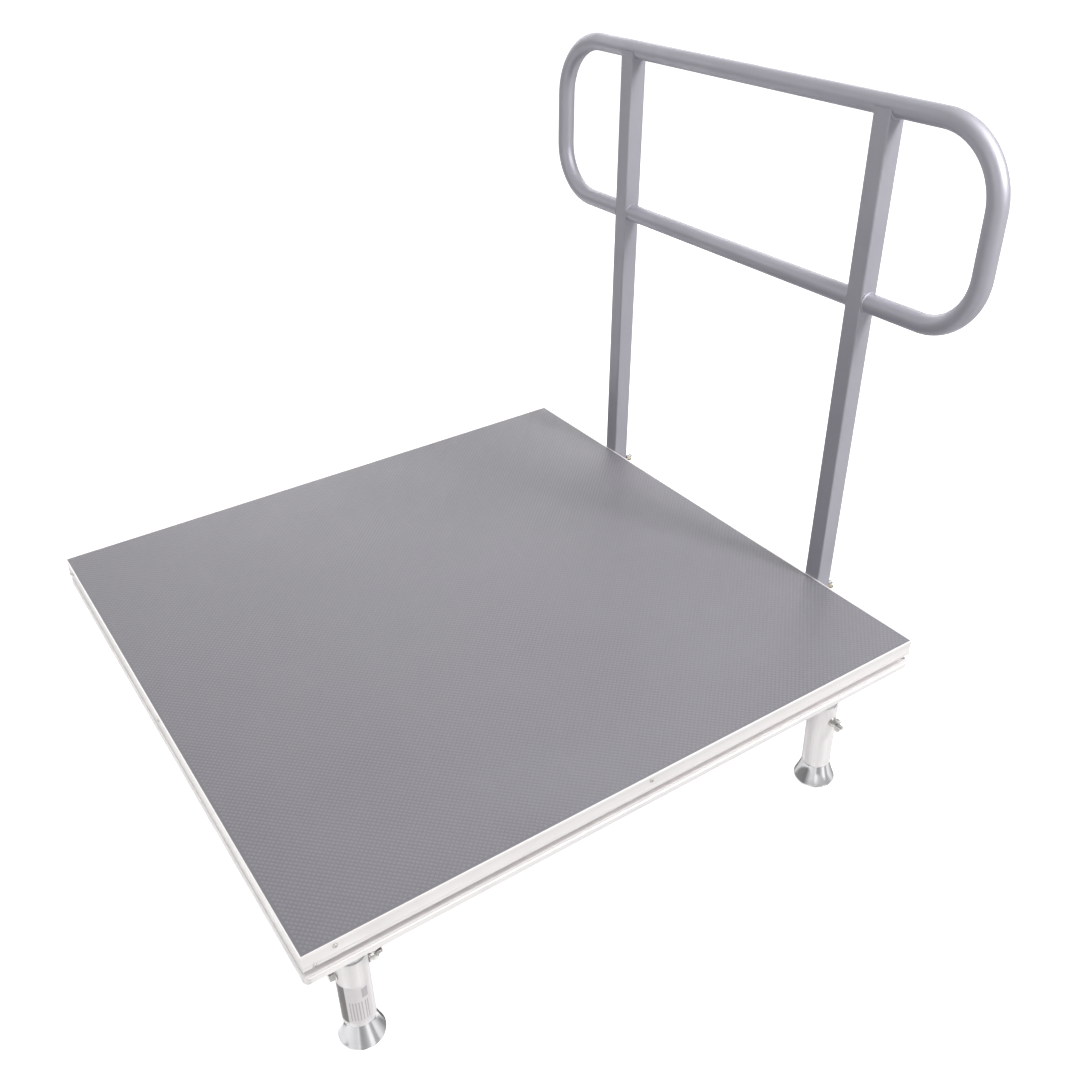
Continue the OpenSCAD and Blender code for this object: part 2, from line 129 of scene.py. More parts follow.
TOP_Z = (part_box("guard_hoop")[1].z - GUARD.translation.z) / MM - TUBE_R + LOW_RAIL.y * math.sin(LEAN)
TOP_H = TOP_Z / math.cos(LEAN)          # top rail centre, along the post from the bolt
LOW_H = LOW_RAIL.z
HOOP_X = span("guard_hoop").x / 2 - TUBE_R
LEG_R = span("leg_tube_rear_right").x / 2
LEG_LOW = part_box("leg_tube_rear_right")[0].z / MM
LEG_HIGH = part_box("leg_tube_rear_right")[1].z / MM
BOLT_Z = JOINTS["wing_nut_rear_right_turn"]["pos_m"][2] / MM
BOLT_R = 4                              # M8
BOLT_PITCH = 1.25
WASHER_T = 1.5
SPINDLE_R = 10                          # M20
SPINDLE_PITCH = 2.5

# ---- shapes: (points in mm, faces) ----


def joined(*shapes):
    """Several shapes as one."""
    points, faces = [], []
    for more_points, more_faces in shapes:
        start = len(points)
        points.extend(more_points)
        faces.extend([tuple(i + start for i in face) for face in more_faces])
    return points, faces


def moved(shape, matrix):
    return [matrix @ Vector(p) for p in shape[0]], shape[1]


def shift(x=0, y=0, z=0):
    return Matrix.Translation((x, y, z))


ALONG_X = Matrix.Rotation(math.radians(90), 4, "Y")      # takes +Z to +X
ALONG_Y = Matrix.Rotation(math.radians(-90), 4, "X")     # takes +Z to +Y


def eased(outline, ease, steps=3):
    """Closed outline with each corner replaced by a short curve that starts ease before it."""
    made = []
    count = len(outline)
    for i, corner in enumerate(outline):
        corner = Vector(corner)
        before = Vector(outline[i - 1]) - corner
        after = Vector(outline[(i + 1) % count]) - corner
        start = corner + before.normalized() * min(ease, before.length * 0.4)
        end = corner + after.normalized() * min(ease, after.length * 0.4)
        for step in range(steps + 1):
            t = step / steps
            spot = start * (1 - t) ** 2 + corner * 2 * t * (1 - t) + end * t ** 2
            made.append(tuple(spot))
    return made


def lathe(outline, steps=72):
    """Closed outline of (radius, height) turned round Z."""
    points, faces, first = [], [], []
    for radius, height in outline:
        first.append(len(points))
        for i in range(steps if radius > 1e-6 else 1):
            angle = math.tau * i / steps
            points.append((radius * math.cos(angle), radius * math.sin(angle), height))
    for a in range(len(outline)):
        b = (a + 1) % len(outline)
        on_axis = [outline[k][0] <= 1e-6 for k in (a, b)]
        if all(on_axis):
            continue
        for i in range(steps):
            j = (i + 1) % steps
            face = [first[a] + i, first[a] + j, first[b] + j, first[b] + i]
            if on_axis[0]:
                face = [first[a], first[b] + j, first[b] + i]
            elif on_axis[1]:
                face = [first[a] + i, first[a] + j, first[b]]
            faces.append(tuple(face))
    return points, faces


def ring(inner, outer, low, high, ease, steps=72):
    """Washer or tube with eased edges."""
    return lathe(eased([(inner, low), (outer, low), (outer, high), (inner, high)], ease), steps)


def loft(loops, closed=False):
    """Skin over loops that all have the same number of points, capped or closed on itself."""
    count = len(loops[0])
    points = [p for loop in loops for p in loop]
    faces = []
    for k in range(len(loops) if closed else len(loops) - 1):
        a, b = k * count, (k + 1) % len(loops) * count
        for i in range(count):
            j = (i + 1) % count
            faces.append((a + i, a + j, b + j, b + i))
    if not closed:
        faces.append(tuple(range(count)))
        faces.append(tuple(range(len(points) - count, len(points))))
    return points, faces


def hollow_loft(outer, inner):
    """Tube between outer and inner loops, its two ends closed by rims."""
    return loft(list(outer) + list(reversed(inner)), closed=True)


def polar(radius_at, heights, sides):
    """Solid whose radius is a function of angle and height, closed at both ends."""
    loops = []
    for height in heights:
        turns = [math.tau * i / sides for i in range(sides)]
        loops.append([(radius_at(a, height) * math.cos(a), radius_at(a, height) * math.sin(a), height)
                      for a in turns])
    return loft(loops)


def threaded_rod(radius, pitch, plain_from, low, high, sides=36):
    """Rod along Z: plain up to low, then a real helical thread up to a chamfered end."""
    depth = 0.6 * pitch
    chamfer = 0.8 * pitch
    rows_per_turn = 8

    def radius_at(angle, height):
        if height <= low:
            return radius
        phase = (height / pitch - angle / math.tau) % 1
        cut = min(max((abs(2 * phase - 1) - 0.15) / 0.7, 0), 1)
        fade = min((height - low) / pitch, 1)
        return min(radius - depth * cut * fade, radius - chamfer + high - height)

    rows = math.ceil((high - low) / pitch * rows_per_turn)
    heights = [plain_from] + [low + (high - low) * k / rows for k in range(rows + 1)]
    return polar(radius_at, heights, sides)


def hex_head(across, low, high):
    """Hexagon head along Z. A cone turns off the corners of its low end, the one that shows."""
    apothem = across / 2

    def radius_at(angle, height):
        flat = (angle + math.pi / 6) % (math.pi / 3) - math.pi / 6
        return min(apothem / math.cos(flat), apothem * 0.98 + (height - low) * 1.7)

    heights = [low + (high - low) * t for t in (0, 0.06, 0.12, 0.2, 0.3, 0.92)] + [high]
    return polar(radius_at, heights, 72)


def pipe(path, normals, side, radius, wall):
    """Tube along a flat path: normals lie in the path's plane, side is square to it."""
    sides = 44

    def loops(r):
        return [[p + n * r * math.cos(math.tau * i / sides) + side * r * math.sin(math.tau * i / sides)
                 for i in range(sides)] for p, n in zip(path, normals)]

    return hollow_loft(loops(radius), loops(radius - wall))


def weld(path, side_at, radius, seed):
    """Closed weld bead along a path, with the overlapping ripples of a hand weld."""
    draw = random.Random(seed)
    sides, ripple = 10, 2.4
    loops, walked = [], 0
    count = len(path)
    for k, spot in enumerate(path):
        ahead, behind = path[(k + 1) % count], path[k - 1]
        walked += (spot - behind).length
        along = (ahead - behind).normalized()
        side = side_at(spot)
        up = along.cross(side).normalized()
        side = up.cross(along)
        swell = radius * (0.9 + 0.16 * ((walked / ripple) % 1) + draw.uniform(-0.03, 0.03))
        loops.append([spot + (up * math.cos(math.tau * i / sides)
                              + side * math.sin(math.tau * i / sides)) * swell
                      for i in range(sides)])
    return loft(loops, closed=True)


# ---- objects ----


def mesh_of(name, shape, tidy=True):
    """A shape's mesh in metres. Tidy merges double points and turns the faces outwards."""
    points, faces = shape
    mesh = bpy.data.meshes.new(name)
    mesh.from_pydata([tuple(Vector(p) * MM) for p in points], [], faces)
    if tidy:
        work = bmesh.new()
        work.from_mesh(mesh)
        bmesh.ops.remove_doubles(work, verts=work.verts, dist=0.002 * MM)
        bmesh.ops.recalc_face_normals(work, faces=work.faces)
        work.to_mesh(mesh)
        work.free()
    return mesh


def shade(mesh, sharp_from):
    mesh.shade_smooth()
    mesh.set_sharp_from_angle(angle=math.radians(sharp_from))


def linked(name, mesh):
    obj = bpy.data.objects.new(name, mesh)
    bpy.context.scene.collection.objects.link(obj)
    return obj


def baked(obj):
    """The object's mesh with its modifiers applied. The object itself is removed."""
    bpy.context.view_layer.update()
    ready = obj.evaluated_get(bpy.context.evaluated_depsgraph_get())
    mesh = bpy.data.meshes.new_from_object(ready)
    bpy.data.objects.remove(obj)
    return mesh


def cut(mesh, *cutters):
    """The mesh with each cutter shape taken out of it."""
    body = linked("cut_body", mesh)
    tools = []
    for shape in cutters:
        tool = linked("cut_tool", mesh_of("cut_tool", shape))
        tools.append(tool)
        step = body.modifiers.new("cut", "BOOLEAN")
        step.operation = "DIFFERENCE"
        step.solver = "EXACT"
        step.object = tool
    made = baked(body)
    for tool in tools:
        bpy.data.objects.remove(tool)
    return made


def piece(name, source, place, body, material, replaces=(), sharp_from=32, tidy=True):
    """One finished piece: a shape or a mesh, set in place, painted and riding on its body."""
    mesh = source if isinstance(source, bpy.types.Mesh) else mesh_of(name, source, tidy)
    mesh.materials.clear()
    mesh.materials.append(material)
    shade(mesh, sharp_from)
    obj = linked(name, mesh)
    obj.matrix_world = place
    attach(obj, body)
    if replaces:
        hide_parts(*replaces)
    return obj


# ---- materials ----


class Nodes:
    """Short calls for the nodes of one tree."""

    def __init__(self, tree):
        self.tree = tree

    def feed(self, socket, value):
        """Links an input to an output, or sets it. None leaves it alone."""
        if isinstance(value, bpy.types.NodeSocket):
            self.tree.links.new(value, socket)
        elif value is not None:
            socket.default_value = value

    def add(self, kind, settings=None, inputs=None):
        node = self.tree.nodes.new(kind)
        for key, value in (settings or {}).items():
            setattr(node, key, value)
        for key, value in (inputs or {}).items():
            self.feed(node.inputs[key], value)
        return node

    def maths(self, kind, *values):
        return self.add("ShaderNodeMath", {"operation": kind}, dict(enumerate(values))).outputs[0]

    def ranged(self, source, low, high, to_low=0.0, to_high=1.0, kind="LINEAR"):
        """Takes the source from low..high to to_low..to_high, and no further."""
        inputs = {0: source, 1: low, 2: high, 3: to_low, 4: to_high}
        return self.add("ShaderNodeMapRange", {"interpolation_type": kind}, inputs).outputs[0]


class Paint(Nodes):
    """A node material with one Principled shader, its colour, roughness and bump built up in turn."""

    def __init__(self, name, colour, metallic, roughness):
        self.material = bpy.data.materials.new(name)
        self.material.use_nodes = True
        super().__init__(self.material.node_tree)
        self.shader = self.tree.nodes["Principled BSDF"]
        self.colour, self.roughness, self.normal = self.rgb(colour), self.value(roughness), None
        self.shader.inputs["Metallic"].default_value = metallic
        self.spot = self.add("ShaderNodeTexCoord").outputs["Object"]

    def rgb(self, colour):
        node = self.add("ShaderNodeRGB")
        node.outputs[0].default_value = (*colour, 1)
        return node.outputs[0]

    def value(self, number):
        node = self.add("ShaderNodeValue")
        node.outputs[0].default_value = number
        return node.outputs[0]

    def noise(self, scale, detail=3, stretch=(1, 1, 1)):
        """Noise over the object, features about 1 / scale metres, finer where stretch is more."""
        spot = self.add("ShaderNodeMapping", None, {"Vector": self.spot, "Scale": stretch})
        inputs = {"Vector": spot.outputs[0], "Scale": scale, "Detail": detail}
        return self.add("ShaderNodeTexNoise", None, inputs).outputs[0]

    def cells(self, scale):
        """Random value per small cell."""
        node = self.add("ShaderNodeTexVoronoi", None, {"Vector": self.spot, "Scale": scale})
        return self.add("ShaderNodeSeparateColor", None, {0: node.outputs["Color"]}).outputs[0]

    def mixed(self, source, low, high, most, colour):
        """Lays a colour over the base: a share of 0 where the source is low, up to most where high."""
        share = self.ranged(source, low, high, 0, most)
        node = self.add("ShaderNodeMix", {"data_type": "RGBA"},
                        {0: share, 6: self.colour, 7: self.rgb(colour)})
        self.colour = node.outputs[2]

    def rougher(self, source, least, most, low=0.3, high=0.7):
        """Adds least to the roughness where the source is low, up to most where high."""
        amount = self.ranged(source, low, high, least, most)
        node = self.add("ShaderNodeMath", {"operation": "ADD", "use_clamp": True},
                        {0: self.roughness, 1: amount})
        self.roughness = node.outputs[0]

    def bumped(self, height, depth_mm, strength=1.0):
        node = self.add("ShaderNodeBump", None, {"Height": height, "Distance": depth_mm * MM,
                                                 "Strength": strength, "Normal": self.normal})
        self.normal = node.outputs[0]

    def done(self, **shader_inputs):
        sockets = self.shader.inputs
        self.feed(sockets["Base Color"], self.colour)
        self.feed(sockets["Roughness"], self.roughness)
        self.feed(sockets["Normal"], self.normal)
        for key, value in shader_inputs.items():
            self.feed(sockets[key.replace("_", " ").title()], value)
        return self.material


def extruded_aluminium(name, stretch, colour, roughness, line_depth):
    """Satin extrusion with faint die lines, long where stretch is small."""
    paint = Paint(name, colour, 0.4, roughness)
    lines = paint.noise(1.0, 4, stretch)
    paint.mixed(lines, 0.42, 0.62, 0.16, (0.70, 0.68, 0.69))
    stains = paint.noise(14, 5)
    paint.mixed(stains, 0.52, 0.75, 0.14, (0.74, 0.73, 0.71))
    paint.rougher(stains, -0.06, 0.10)
    paint.rougher(lines, -0.04, 0.05)
    paint.bumped(lines, line_depth, 0.5)
    return paint.done()


def cast_aluminium():
    paint = Paint("cast_aluminium_look", (0.66, 0.67, 0.68), 1.0, 0.52)
    grain = paint.noise(900, 3)
    cloud = paint.noise(30, 4)
    paint.mixed(cloud, 0.4, 0.7, 0.35, (0.50, 0.50, 0.51))
    paint.rougher(cloud, -0.08, 0.12)
    paint.bumped(grain, 0.25, 0.5)
    paint.bumped(cloud, 0.4, 0.25)
    return paint.done()


def zinc(name, colour, dull):
    """Zinc plated steel: small bright and dull patches under a fine grain."""
    paint = Paint(name, colour, 1.0, 0.34)
    spangle = paint.cells(420)
    paint.mixed(spangle, 0, 1, 0.35, dull)
    cloud = paint.noise(110, 4)
    paint.mixed(cloud, 0.45, 0.75, 0.4, dull)
    paint.rougher(cloud, -0.08, 0.16)
    paint.bumped(paint.noise(1500, 2), 0.05, 0.4)
    return paint.done()


def chrome():
    """Polished plating with the fine turning rings and a little haze."""
    paint = Paint("chrome_look", (0.56, 0.56, 0.57), 1.0, 0.07)
    flat = paint.add("ShaderNodeVectorMath", {"operation": "MULTIPLY"}, {0: paint.spot, 1: (1, 1, 0)})
    reach = paint.add("ShaderNodeVectorMath", {"operation": "LENGTH"}, {0: flat.outputs[0]})
    rings = paint.add("ShaderNodeTexNoise", {"noise_dimensions": "1D"},
                      {"W": reach.outputs["Value"], "Scale": 2600, "Detail": 2})
    haze = paint.noise(60, 4)
    paint.mixed(haze, 0.5, 0.8, 0.25, (0.46, 0.46, 0.47))
    paint.rougher(haze, 0.0, 0.09, 0.35, 0.75)
    paint.bumped(rings.outputs[0], 0.006, 0.35)
    return paint.done()


def rubber():
    paint = Paint("rubber_look", (0.028, 0.028, 0.030), 0.0, 0.72)
    dust = paint.noise(70, 5)
    paint.mixed(dust, 0.5, 0.75, 0.45, (0.16, 0.155, 0.15))
    paint.rougher(dust, -0.05, 0.12)
    paint.bumped(paint.noise(1400, 2), 0.12, 0.5)
    return paint.done()


def plug_plastic():
    paint = Paint("plug_plastic_look", (0.022, 0.022, 0.024), 0.0, 0.45)
    grain = paint.cells(1600)
    paint.rougher(paint.noise(90), -0.06, 0.1)
    paint.mixed(grain, 0, 1, 0.12, (0.07, 0.07, 0.075))
    paint.bumped(grain, 0.04, 0.4)
    return paint.done()


def rail_paint():
    """Satin silver-grey paint with metal flakes, a light orange peel and faint clouds."""
    paint = Paint("rail_paint_look", (0.385, 0.380, 0.425), 0.56, 0.52)
    flakes = paint.cells(3200)
    paint.mixed(flakes, 0, 1, 0.30, (0.47, 0.465, 0.515))
    cloud = paint.noise(9, 4)
    paint.mixed(cloud, 0.45, 0.72, 0.30, (0.33, 0.326, 0.37))
    paint.rougher(cloud, -0.04, 0.07)
    paint.rougher(flakes, -0.05, 0.05, 0, 1)
    paint.bumped(paint.noise(420, 3), 0.06, 0.35)
    paint.bumped(flakes, 0.012, 0.3)
    return paint.done(coat_weight=0.08, coat_roughness=0.35)


def deck_film():
    """Dark grey phenolic film: pad tops lighter than the grooves, faint scuffs and dust."""
    paint = Paint("deck_film_look", (0.171, 0.166, 0.186), 0.0, 0.42)
    height = paint.add("ShaderNodeSeparateXYZ", None, {0: paint.spot}).outputs[2]
    # pad tops coloured lighter than the grooves, set by height in the board
    paint.mixed(height, -0.8 * IMPRINT * MM, -0.1 * IMPRINT * MM, 0.75, (0.215, 0.209, 0.232))
    cloud = paint.noise(3.2, 6)
    paint.mixed(cloud, 0.38, 0.70, 0.30, (0.245, 0.245, 0.262))
    scuffs = paint.noise(1.0, 6, (9, 46, 9))
    paint.mixed(scuffs, 0.58, 0.76, 0.07, (0.30, 0.29, 0.30))
    grit = paint.noise(650, 3)
    paint.mixed(grit, 0.45, 0.72, 0.22, (0.115, 0.115, 0.125))
    paint.rougher(cloud, -0.05, 0.10)
    paint.rougher(grit, -0.05, 0.06)
    paint.bumped(grit, 0.05, 0.35)
    return paint.done()


def screw_steel():
    paint = Paint("screw_steel_look", (0.62, 0.60, 0.57), 1.0, 0.38)
    cloud = paint.noise(600, 3)
    paint.mixed(cloud, 0.4, 0.7, 0.5, (0.42, 0.40, 0.38))
    paint.rougher(cloud, -0.06, 0.12)
    paint.bumped(cloud, 0.03, 0.3)
    return paint.done()


def vinyl(name, colour):
    """Matte sticker film, with slight fading and a soft ripple."""
    paint = Paint(name, colour, 0.0, 0.42)
    fade = paint.noise(80, 3)
    paint.mixed(fade, 0.4, 0.75, 0.25, tuple(0.85 * c for c in colour))
    paint.rougher(fade, -0.05, 0.08)
    paint.bumped(fade, 0.05, 0.3)
    return paint.done()


IMPRINT = 0.3                           # depth of the anti-slip imprint
looks = {
    "rail": extruded_aluminium("frame_aluminium_look", (1.5, 700, 700), (0.885, 0.855, 0.85), 0.42, 0.02),
    "tube": extruded_aluminium("leg_aluminium_look", (260, 260, 1.5), (0.98, 0.95, 0.95), 0.50, 0.004),
    "cast": cast_aluminium(),
    "zinc": zinc("zinc_look", (0.76, 0.75, 0.73), (0.54, 0.53, 0.51)),
    "brassy": zinc("aged_zinc_look", (0.30, 0.26, 0.20), (0.15, 0.135, 0.115)),
    "chrome": chrome(),
    "rubber": rubber(),
    "plug": plug_plastic(),
    "paint": rail_paint(),
    "film": deck_film(),
    "steel": screw_steel(),
    "label": vinyl("label_white_look", (0.97, 0.93, 0.95)),
    "label_mark": vinyl("label_grey_look", (0.25, 0.23, 0.23)),
    "label_line": vinyl("label_line_look", (0.66, 0.63, 0.64)),
}

# ---- deck ----

LIP_H = 2.5                             # top lip, above the band that the leaning posts bear on
GROOVE = 30                             # centre of the accessory groove below the surface
MOUTH = 9                               # clear mouth of the groove
CHAMBER = 16                            # height of the groove's chamber
CHAMBER_U = 11.5                        # depth of the chamber from the outer face
GROOVE_LIP = 3
WALL = 2.5
FLANGE = GROOVE + CHAMBER / 2 + 1.8     # top of the flush lower flange
CORNER_ROUND = 9.5                      # plan radius of the lower flange at the corners
MITRE_GAP = 0.1


def bearing(w):
    """Inward offset of the face that the leaning posts bear on, at height w."""
    return -(w + LIP_H) * math.tan(LEAN)


def rail_outline():
    """Section of a side profile: u inwards from the outer face, w up from the surface."""
    roof, floor = -GROOVE + CHAMBER / 2, -GROOVE - CHAMBER / 2
    high, low = -GROOVE + MOUTH / 2, -GROOVE - MOUTH / 2
    return [
        (0, 0), (0, -LIP_H), (0.9, -LIP_H - 0.9), (1.3, roof + 2.5),
        (bearing(roof + 1.5), roof + 1.5), (bearing(high), high), (bearing(high) + GROOVE_LIP, high),
        (bearing(roof) + GROOVE_LIP, roof), (CHAMBER_U, roof), (CHAMBER_U, floor),
        (bearing(floor) + GROOVE_LIP, floor), (bearing(low) + GROOVE_LIP, low), (bearing(low), low),
        (bearing(-FLANGE) + 0.2, -FLANGE + 0.6), (0, -FLANGE), (0, -RAIL_H + 1.5), (1.5, -RAIL_H),
        (RAIL_W, -RAIL_H), (RAIL_W, -PANEL.z), (LIP, -PANEL.z), (LIP, 0)]


def rail_hollow():
    """Closed hollow of the profile, wrapped round the groove's chamber."""
    roof, floor = -GROOVE + CHAMBER / 2 + 2, -GROOVE - CHAMBER / 2 - 2
    return [
        (4, -PANEL.z - WALL), (RAIL_W - WALL, -PANEL.z - WALL), (RAIL_W - WALL, -RAIL_H + WALL),
        (3, -RAIL_H + WALL), (3, floor), (CHAMBER_U + 2, floor), (CHAMBER_U + 2, roof), (4, roof)]


def frame_side():
    """Mitred side profile, X along the side and Y outwards."""
    outer, inner = eased(rail_outline(), 0.35), eased(rail_hollow(), 0.5, 2)
    flat = [[Vector((u, w, 0)) for u, w in loop] for loop in (outer, inner)]
    caps = [tuple(face) for face in tessellate_polygon(flat)]
    both = outer + inner
    points, faces = [], []
    for end in (-1, 1):
        points += [(end * (HALF - u - MITRE_GAP), HALF - u, w) for u, w in both]
    for start, count in ((0, len(outer)), (len(outer), len(inner))):
        for i in range(count):
            a, b = start + i, start + (i + 1) % count
            faces.append((a, b, b + len(both), a + len(both)))
    faces += caps
    faces += [tuple(i + len(both) for i in face) for face in caps]
    return points, faces


def corner_cutter(end):
    """What is taken off the lower flange so that it turns the corner in a round."""
    steps = 10
    past = 5                            # how far the cutter stands out of the profile
    centre = HALF - CORNER_ROUND
    arc = [(end * (centre + CORNER_ROUND * math.sin(math.radians(90 * k / steps))),
            centre + CORNER_ROUND * math.cos(math.radians(90 * k / steps))) for k in range(steps + 1)]
    outline = arc + [(end * (HALF + past), centre), (end * (HALF + past), HALF + past),
                     (end * centre, HALF + past)]
    low, high = -RAIL_H - past, -FLANGE + 1.8
    return loft([[(x, y, z) for x, y in outline] for z in (low, high)])


def build_frame():
    for k, side in enumerate(SIDES):
        mesh = mesh_of(f"frame_side_{side}", frame_side())
        mesh = cut(mesh, corner_cutter(-1), corner_cutter(1))
        piece(f"frame_side_{side}", mesh, side_frame(k), "deck",
              looks["rail"], [f"rail_{side}"], sharp_from=28)


def anti_slip_board():
    """Board with the raised diamond pads that a wire mesh leaves in the pressed film."""
    pitch, foot, top = 8.0, 3.3, 2.3    # grid of the pads, their half diagonals below and above
    half = PANEL.x / 2
    base = -IMPRINT
    edge = [(-half, -half), (half, -half), (half, half), (-half, half)]
    board = loft([[(x, y, z) for x, y in edge] for z in (-PANEL.z, base)])
    points, faces = list(board[0]), list(board[1])
    count = int((half - foot) / (pitch / 2))
    for i in range(-count, count + 1):
        for j in range(-count, count + 1):
            if (i + j) % 2:
                continue
            x, y = i * pitch / 2, j * pitch / 2
            start = len(points)
            for reach, z in ((foot, base - 0.05), (top, 0)):
                points += [(x + reach, y, z), (x, y + reach, z), (x - reach, y, z), (x, y - reach, z)]
            a = [start + n for n in range(8)]
            faces.append((a[3], a[2], a[1], a[0]))
            faces.append((a[4], a[5], a[6], a[7]))
            faces += [(a[n], a[(n + 1) % 4], a[4 + (n + 1) % 4], a[4 + n]) for n in range(4)]
    return points, faces


def build_board():
    piece("deck_board", anti_slip_board(), DECK, "deck", looks["film"],
          ["deck_panel"], tidy=False)


# ---- legs ----

BORE_GAP = 0.2
PAD_H = 4                               # thickness of the rubber pad, where the bell's rim starts
HUB_R = 14                              # the bell's hub, and the pad's shoulder under it
HUB_LOW = 6


def leg_sleeve():
    """Leg tube with eased ends and the cross hole of its clamp bolt."""
    mesh = mesh_of("leg_sleeve", ring(LEG_R - 2, LEG_R, LEG_LOW, LEG_HIGH, 0.7, 96))
    hole = lathe([(0, -30), (BOLT_R + BORE_GAP, -30), (BOLT_R + BORE_GAP, 30), (0, 30)], 32)
    return cut(mesh, moved(hole, shift(z=BOLT_Z) @ ALONG_X))


def clamp_screw():
    """Flanged hex bolt along X through the leg, its head's seat at x = -LEG_R."""
    flange_t, head_h, head_across = 2, 7, 12.8
    tail = span("clamp_bolt_rear_right").x - flange_t - head_h - LEG_R
    rod = threaded_rod(BOLT_R, BOLT_PITCH, -LEG_R, LEG_R - 4, tail)
    outline = [(0, 0), (2 * BOLT_R, 0), (2 * BOLT_R, 0.9), (6.4, flange_t), (0, flange_t)]
    flange = lathe(eased(outline, 0.3), 48)
    head = hex_head(head_across, 0, head_h)
    turned = Matrix.Rotation(math.radians(180), 4, "X")
    return joined(moved(rod, ALONG_X), moved(flange, shift(-LEG_R) @ ALONG_X @ turned),
                  moved(head, shift(-LEG_R - flange_t - head_h) @ ALONG_X))


def flat_washer():
    """Washer on the X axis, its seat at x = 0."""
    return moved(ring(BOLT_R + 0.05, 2 * BOLT_R, 0, WASHER_T, 0.25, 48), ALONG_X)


def wing_nut_mesh():
    """Cast wing nut on the X axis, its seat at x = 0 and its wings in the XZ plane."""
    hub = moved(lathe([(0, 0), (7, 0), (7, 2.5), (5.6, 8), (0, 8)], 48), ALONG_X)
    wing = [(0.9, 2.0), (1.6, 6.4), (3.4, 9.6), (5.8, 12.0), (8.4, 13.2), (11.2, 13.1), (13.6, 11.6),
            (14.8, 9.2), (14.6, 6.8), (12.6, 5.2), (10.2, 4.6), (8.0, 3.6), (7.6, 2.0)]
    middle_x, middle_z = 7.6, 8.4
    wings = []
    for turn in (1, -1):
        loops = []
        for y, inset in ((-1.6, 0.7), (-0.9, 0), (0.9, 0), (1.6, 0.7)):
            size = 1 - inset / 6        # the wing's two faces are a little smaller than its middle
            loops.append([(middle_x + (x - middle_x) * size, y,
                           turn * (middle_z + (z - middle_z) * size)) for x, z in wing])
        wings.append(loft(loops))
    rough = linked("wing_nut_rough", mesh_of("wing_nut_rough", joined(hub, *wings)))
    skin = rough.modifiers.new("skin", "REMESH")
    skin.mode = "VOXEL"
    skin.voxel_size = 0.42 * MM
    soften = rough.modifiers.new("soften", "SMOOTH")
    soften.factor = 0.5
    soften.iterations = 5
    bore = lathe([(0, -5), (BOLT_R + 0.1, -5), (BOLT_R + 0.1, 20), (0, 20)], 32)
    return cut(baked(rough), moved(bore, ALONG_X))


def bell():
    """Chromed bell foot: rounded neck, long flare and a rolled rim, hollow below."""
    neck, rim = 22.5, span("foot_bell_rear_right").x / 2
    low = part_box("foot_bell_rear_right")[0].z / MM
    top, skin, steps = LEG_LOW, 2.2, 26
    rise = top - PAD_H

    def flare(t):
        return neck + (rim - neck) * t ** 1.35

    outer = [(flare(k / steps), top - rise * k / steps) for k in range(1, steps + 1)]
    rim_roll = [(rim + 0.02 - 0.8 * (1 - math.cos(a)), PAD_H - 2.5 * math.sin(a))
                for a in (math.radians(15 * k) for k in range(1, 7))]
    inner = [(flare(k / steps) - skin, top - rise * k / steps) for k in range(steps, 5, -2)]
    shoulder = [(neck - 0.9, top), (neck - 0.25, top - 0.25)]
    hub = [(HUB_R, top - rise * 0.2), (HUB_R, HUB_LOW + 0.5), (HUB_R - 0.5, HUB_LOW),
           (SPINDLE_R, HUB_LOW)]
    return lathe([(SPINDLE_R, top)] + shoulder + outer + rim_roll
                 + [(rim - skin - 0.4, low)] + inner + hub, 128)


def levelling_spindle():
    """M20 spindle, plain inside the bell and with a real helical thread above it."""
    low, high = (corner.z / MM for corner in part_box("foot_spindle_rear_right"))
    return threaded_rod(SPINDLE_R, SPINDLE_PITCH, low, LEG_LOW + 0.5, high, 44)


def floor_pad():
    """Rubber pad with a groove round its edge and a shoulder under the bell's hub."""
    outline = [(0, 0), (26.8, 0), (28, 1.1), (28, 1.6), (27.4, 2.0), (28, 2.4), (28, 3.2),
               (27.3, PAD_H), (HUB_R + 0.6, PAD_H), (HUB_R, PAD_H + 0.6), (HUB_R, HUB_LOW), (0, HUB_LOW)]
    return lathe(outline, 96)


def label():
    """Blank sticker bent round the near leg: points, faces and the look each face takes."""
    start, end = -112, 36               # degrees round the leg from +X
    high, low = LEG_HIGH - 43, LEG_LOW + 7
    columns, rows = 74, 24
    strip, block, lines = (-92, -55), (0, 22), (-44, -34, -24, -14, -4, 8, 16)
    points, faces, marks = [], [], []
    for skin in (LEG_R + 0.03, LEG_R + 0.15):
        for r in range(rows + 1):
            z = low + (high - low) * r / rows
            for c in range(columns + 1):
                angle = math.radians(start + (end - start) * c / columns)
                points.append((skin * math.cos(angle), skin * math.sin(angle), z))
    layer = (rows + 1) * (columns + 1)
    for side in (0, 1):
        for r in range(rows):
            for c in range(columns):
                a = side * layer + r * (columns + 1) + c
                faces.append((a, a + 1, a + columns + 2, a + columns + 1))
                angle = start + (end - start) * (c + 0.5) / columns
                share = (r + 0.5) / rows
                in_strip = strip[0] < angle < strip[1]
                in_block = block[0] < angle < block[1] and 0.66 < share < 0.92
                in_line = min(abs(angle - line) for line in lines) < 1.3 and 0.08 < share < 0.6
                marks.append(1 if in_strip else 2 if in_block or in_line else 0)
    rim = [r * (columns + 1) + c for r, c in
           [(0, c) for c in range(columns)] + [(r, columns) for r in range(rows)]
           + [(rows, c) for c in range(columns, 0, -1)] + [(r, 0) for r in range(rows, 0, -1)]]
    for k, a in enumerate(rim):
        b = rim[(k + 1) % len(rim)]
        faces.append((a, b, b + layer, a + layer))
        marks.append(0)
    return points, faces, marks


